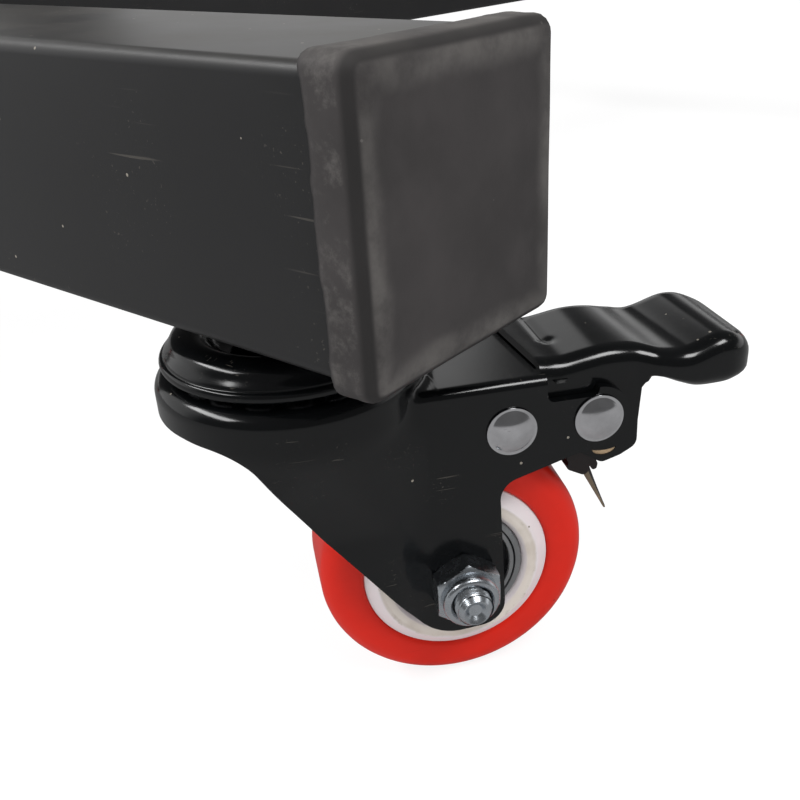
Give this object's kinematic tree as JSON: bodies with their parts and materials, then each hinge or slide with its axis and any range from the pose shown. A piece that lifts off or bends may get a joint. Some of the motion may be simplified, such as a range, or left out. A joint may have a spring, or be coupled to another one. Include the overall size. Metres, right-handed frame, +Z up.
{
  "type": "paddock stand",
  "caption": "Motorcycle paddock stand: H-shaped square-tube base on braked swivel castors, with a central lift column, lever and adapter pins.",
  "frame": {"origin": "on the floor under the middle of the spine, centred in length and width", "axes": "+X along the arms, +Y along the spine, away from the lift column, +Z up"},
  "size_m": [0.9714, 0.867, 0.6777],
  "materials": {
    "powder_satin": "satin black powder coat, fine texture, light dust",
    "powder_gloss": "gloss black paint on pressed steel",
    "cap_rubber": "dusty matte black rubber",
    "grip_rubber": "matte black rubber, ribbed",
    "nickel": "polished nickel plate",
    "zinc": "bright zinc plate",
    "bearing_steel": "ground bearing steel",
    "polyurethane": "glossy red polyurethane",
    "hub_plastic": "off-white moulded plastic, soiled",
    "bronze": "sintered bronze",
    "pin_steel": "turned bright steel"
  },
  "bodies": {
    "root": {"near_arm": "powder_satin", "far_arm": "powder_satin", "spine": "powder_satin", "gussets": "powder_satin", "end_caps": "cap_rubber", "castor_stems": "powder_gloss", "stem_nuts": "zinc", "head_cups": "powder_gloss", "swivel_balls": "bearing_steel", "lift_cheeks": "powder_satin", "lift_stop": "powder_satin", "pivot_bolt": "zinc", "pivot_nut": "zinc"},
    "lift": {"pivot_tube": "powder_satin", "pivot_bushes": "bronze", "column_tube": "powder_satin", "lever_socket": "powder_satin", "lever_tube": "powder_satin", "lever_grip": "grip_rubber", "lever_pin": "zinc"},
    "height": {"inner_column": "powder_satin", "adapter_plate": "powder_satin", "adapter_pins": "pin_steel"},
    "clamp": {"clamp_screw": "zinc"},
    "castor_1": {"fork_1": "powder_gloss", "rivets_1": "nickel", "axle_bolt_1": "zinc", "axle_sleeve_1": "bearing_steel"},
    "wheel_1": {"tread_1": "polyurethane", "hub_1": "hub_plastic", "bearings_1": "bearing_steel"},
    "pedal_1": {"pedal_1": "powder_gloss"},
    "brake_1": {"brake_arm_1": "powder_gloss"},
    "castor_2": {"fork_2": "powder_gloss", "rivets_2": "nickel", "axle_bolt_2": "zinc", "axle_sleeve_2": "bearing_steel"},
    "wheel_2": {"tread_2": "polyurethane", "hub_2": "hub_plastic", "bearings_2": "bearing_steel"},
    "pedal_2": {"pedal_2": "powder_gloss"},
    "brake_2": {"brake_arm_2": "powder_gloss"},
    "castor_3": {"fork_3": "powder_gloss", "rivets_3": "nickel", "axle_bolt_3": "zinc", "axle_sleeve_3": "bearing_steel"},
    "wheel_3": {"tread_3": "polyurethane", "hub_3": "hub_plastic", "bearings_3": "bearing_steel"},
    "pedal_3": {"pedal_3": "powder_gloss"},
    "brake_3": {"brake_arm_3": "powder_gloss"},
    "castor_4": {"fork_4": "powder_gloss", "rivets_4": "nickel", "axle_bolt_4": "zinc", "axle_sleeve_4": "bearing_steel"},
    "wheel_4": {"tread_4": "polyurethane", "hub_4": "hub_plastic", "bearings_4": "bearing_steel"},
    "pedal_4": {"pedal_4": "powder_gloss"},
    "brake_4": {"brake_arm_4": "powder_gloss"}
  },
  "joints": [
    {"name": "lift_pivot", "type": "hinge", "parent": "root", "child": "lift", "pos_m": [0, -0.2, 0.223], "axis": [0, 1, 0], "range_deg": [0, 50]},
    {"name": "height_slide", "type": "slide", "parent": "lift", "child": "height", "axis": [0, 0, 1], "range_m": [0, 0.12]},
    {"name": "clamp_turn", "type": "hinge", "parent": "lift", "child": "clamp", "pos_m": [0.03, -0.2, 0.429], "axis": [1, 0, 0], "range_deg": [-90, 0]},
    {"name": "swivel_1", "type": "hinge", "parent": "root", "child": "castor_1", "pos_m": [0.3978, -0.4, 0.118], "axis": [0, 0, 1], "continuous": true},
    {"name": "wheel_spin_1", "type": "hinge", "parent": "castor_1", "child": "wheel_1", "pos_m": [0.42201, -0.37045, 0.0375], "axis": [-0.7735, 0.6338, 0], "continuous": true},
    {"name": "pedal_press_1", "type": "hinge", "parent": "castor_1", "child": "pedal_1", "pos_m": [0.44559, -0.34168, 0.082], "axis": [-0.7735, 0.6338, 0], "range_deg": [0, 18]},
    {"name": "brake_swing_1", "type": "hinge", "parent": "castor_1", "child": "brake_1", "pos_m": [0.43076, -0.35978, 0.082], "axis": [-0.7735, 0.6338, 0], "range_deg": [0, 4.5]},
    {"name": "swivel_2", "type": "hinge", "parent": "root", "child": "castor_2", "pos_m": [0.3978, 0.4, 0.118], "axis": [0, 0, 1], "continuous": true},
    {"name": "wheel_spin_2", "type": "hinge", "parent": "castor_2", "child": "wheel_2", "pos_m": [0.42201, 0.37045, 0.0375], "axis": [0.7735, 0.6338, 0], "continuous": true},
    {"name": "pedal_press_2", "type": "hinge", "parent": "castor_2", "child": "pedal_2", "pos_m": [0.44559, 0.34168, 0.082], "axis": [0.7735, 0.6338, 0], "range_deg": [0, 18]},
    {"name": "brake_swing_2", "type": "hinge", "parent": "castor_2", "child": "brake_2", "pos_m": [0.43076, 0.35978, 0.082], "axis": [0.7735, 0.6338, 0], "range_deg": [0, 4.5]},
    {"name": "swivel_3", "type": "hinge", "parent": "root", "child": "castor_3", "pos_m": [-0.3978, 0.4, 0.118], "axis": [0, 0, 1], "continuous": true},
    {"name": "wheel_spin_3", "type": "hinge", "parent": "castor_3", "child": "wheel_3", "pos_m": [-0.42201, 0.37045, 0.0375], "axis": [0.7735, -0.6338, 0], "continuous": true},
    {"name": "pedal_press_3", "type": "hinge", "parent": "castor_3", "child": "pedal_3", "pos_m": [-0.44559, 0.34168, 0.082], "axis": [0.7735, -0.6338, 0], "range_deg": [0, 18]},
    {"name": "brake_swing_3", "type": "hinge", "parent": "castor_3", "child": "brake_3", "pos_m": [-0.43076, 0.35978, 0.082], "axis": [0.7735, -0.6338, 0], "range_deg": [0, 4.5]},
    {"name": "swivel_4", "type": "hinge", "parent": "root", "child": "castor_4", "pos_m": [-0.3978, -0.4, 0.118], "axis": [0, 0, 1], "continuous": true},
    {"name": "wheel_spin_4", "type": "hinge", "parent": "castor_4", "child": "wheel_4", "pos_m": [-0.42201, -0.37045, 0.0375], "axis": [-0.7735, -0.6338, 0], "continuous": true},
    {"name": "pedal_press_4", "type": "hinge", "parent": "castor_4", "child": "pedal_4", "pos_m": [-0.44559, -0.34168, 0.082], "axis": [-0.7735, -0.6338, 0], "range_deg": [0, 18]},
    {"name": "brake_swing_4", "type": "hinge", "parent": "castor_4", "child": "brake_4", "pos_m": [-0.43076, -0.35978, 0.082], "axis": [-0.7735, -0.6338, 0], "range_deg": [0, 4.5]}
  ],
  "couplings": [
    {"joint": "brake_swing_1", "follows": "pedal_press_1", "ratio": 0.25},
    {"joint": "brake_swing_2", "follows": "pedal_press_2", "ratio": 0.25},
    {"joint": "brake_swing_3", "follows": "pedal_press_3", "ratio": 0.25},
    {"joint": "brake_swing_4", "follows": "pedal_press_4", "ratio": 0.25}
  ]
}
